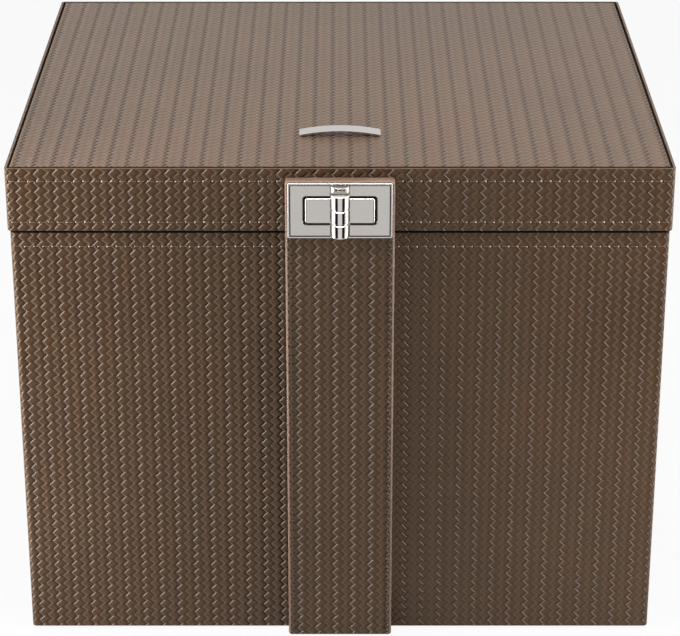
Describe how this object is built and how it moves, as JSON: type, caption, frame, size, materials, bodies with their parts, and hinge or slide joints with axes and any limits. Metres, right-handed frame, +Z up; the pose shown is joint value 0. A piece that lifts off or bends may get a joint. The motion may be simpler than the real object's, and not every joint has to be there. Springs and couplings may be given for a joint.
{
  "type": "jewelry case",
  "caption": "Rectangular jewellery case in woven leatherette with a rear-hinged mirror lid, front doors under a strap with a turn lock, drawers and necklace bays.",
  "frame": {"origin": "centre of the flat underside, on the surface that the case stands on", "axes": "+X to the case's right as seen from the front, -Y towards the front with the strap, +Z up"},
  "size_m": [0.31, 0.2803, 0.2498],
  "materials": {
    "woven_leatherette": "woven embossed leatherette, mocha brown",
    "suede_lining": "soft napped lining, sand",
    "ring_velvet": "velvet over foam, sand",
    "fibreboard": "fibreboard",
    "polished_nickel": "polished nickel",
    "hinge_steel": "satin nickel-plated steel",
    "base_felt": "dark felt",
    "mirror_glass": "silvered glass"
  },
  "bodies": {
    "case": {"base_board": "fibreboard", "left_side_panel": "fibreboard", "right_side_panel": "fibreboard", "rear_panel": "fibreboard", "front_rail": "fibreboard", "top_deck": "fibreboard", "case_cover": "woven_leatherette", "base_felt": "base_felt", "left_bay_divider": "suede_lining", "right_bay_divider": "suede_lining", "drawer_shelves": "suede_lining", "tray_lining": "suede_lining", "tray_partitions": "suede_lining", "ring_rolls": "ring_velvet", "bay_linings": "suede_lining", "necklace_pegs": "polished_nickel", "door_hinge_case_leaves": "hinge_steel", "door_hinge_pins": "hinge_steel", "lid_hinge_case_leaf": "hinge_steel", "lid_hinge_pin": "hinge_steel", "case_hinge_screws": "hinge_steel"},
    "lid": {"lid_frame": "fibreboard", "lid_top_board": "fibreboard", "lid_top_cover": "woven_leatherette", "lid_band_cover": "woven_leatherette", "lid_lining": "suede_lining", "mirror": "mirror_glass", "mirror_frame": "suede_lining", "lid_hinge_lid_leaf": "hinge_steel", "lid_hinge_screws": "hinge_steel", "badge": "polished_nickel", "lock_turret": "polished_nickel"},
    "knob": {"turn_knob": "polished_nickel", "knob_spindle": "polished_nickel", "spindle_nut": "hinge_steel"},
    "right_door": {"right_door_board": "fibreboard", "right_door_cover": "woven_leatherette", "right_door_lining": "suede_lining", "right_door_hinge_leaf": "hinge_steel", "right_door_hinge_screws": "hinge_steel", "strap_core": "fibreboard", "strap_cover": "woven_leatherette", "strap_spacer": "fibreboard", "strap_screws": "hinge_steel", "lock_plate": "polished_nickel", "lock_plate_rivets": "polished_nickel"},
    "left_door": {"left_door_board": "fibreboard", "left_door_cover": "woven_leatherette", "left_door_lining": "suede_lining", "left_door_hinge_leaf": "hinge_steel", "left_door_hinge_screws": "hinge_steel"},
    "lower_drawer": {"lower_drawer_box": "suede_lining", "lower_drawer_lining": "suede_lining", "lower_drawer_pull": "polished_nickel"},
    "middle_drawer": {"middle_drawer_box": "suede_lining", "middle_drawer_lining": "suede_lining", "middle_drawer_pull": "polished_nickel"},
    "upper_drawer": {"upper_drawer_box": "suede_lining", "upper_drawer_lining": "suede_lining", "upper_drawer_pull": "polished_nickel"}
  },
  "joints": [
    {"name": "lid_hinge", "type": "hinge", "parent": "case", "child": "lid", "pos_m": [0, 0.1298, 0.2148], "axis": [-1, 0, 0], "range_deg": [0, 100]},
    {"name": "knob_turn", "type": "hinge", "parent": "lid", "child": "knob", "pos_m": [0, -0.1442, 0.2284], "axis": [0, 1, 0], "range_deg": [0, 90]},
    {"name": "right_door_hinge", "type": "hinge", "parent": "case", "child": "right_door", "pos_m": [0.1523, -0.1208, 0.108], "axis": [0, 0, 1], "range_deg": [0, 110]},
    {"name": "left_door_hinge", "type": "hinge", "parent": "case", "child": "left_door", "pos_m": [-0.1523, -0.1208, 0.108], "axis": [0, 0, -1], "range_deg": [0, 110]},
    {"name": "lower_drawer_slide", "type": "slide", "parent": "case", "child": "lower_drawer", "axis": [0, -1, 0], "range_m": [0, 0.154]},
    {"name": "middle_drawer_slide", "type": "slide", "parent": "case", "child": "middle_drawer", "axis": [0, -1, 0], "range_m": [0, 0.154]},
    {"name": "upper_drawer_slide", "type": "slide", "parent": "case", "child": "upper_drawer", "axis": [0, -1, 0], "range_m": [0, 0.154]}
  ],
  "couplings": [
    {"joint": "left_door_hinge", "follows": "right_door_hinge", "ratio": 1},
    {"joint": "lower_drawer_slide", "follows": "right_door_hinge", "m_per_rad": 0.08},
    {"joint": "middle_drawer_slide", "follows": "right_door_hinge", "m_per_rad": 0.08},
    {"joint": "upper_drawer_slide", "follows": "right_door_hinge", "m_per_rad": 0.08}
  ]
}
